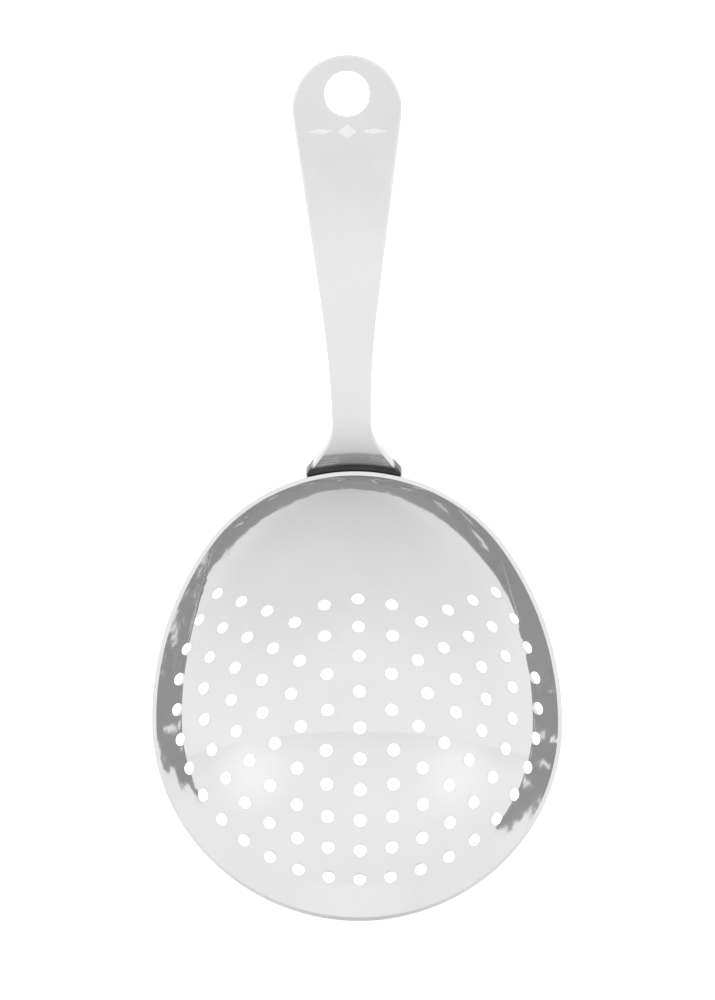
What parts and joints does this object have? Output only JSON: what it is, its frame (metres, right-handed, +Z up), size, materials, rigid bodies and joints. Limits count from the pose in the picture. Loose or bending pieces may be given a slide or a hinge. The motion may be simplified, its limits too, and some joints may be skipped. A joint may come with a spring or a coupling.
{
  "type": "julep strainer",
  "caption": "Bar strainer: a perforated egg-shaped steel bowl with a flat handle that bends over the rim and has a hanging hole.",
  "frame": {"origin": "the centre of the rim's round end, in the plane of the rim", "axes": "+Z up the handle, the bowl opens towards -Y, X across the bowl"},
  "size_m": [0.078, 0.0315, 0.1658],
  "materials": {
    "bowl_steel": "stainless steel sheet, polished to a mirror",
    "handle_steel": "stainless steel strap, polished to a mirror, with a fine etched ornament",
    "weld_steel": "fused weld metal between the two sheets"
  },
  "bodies": {
    "root": {"bowl": "bowl_steel", "handle": "handle_steel", "weld_nuggets": "weld_steel"}
  },
  "joints": []
}
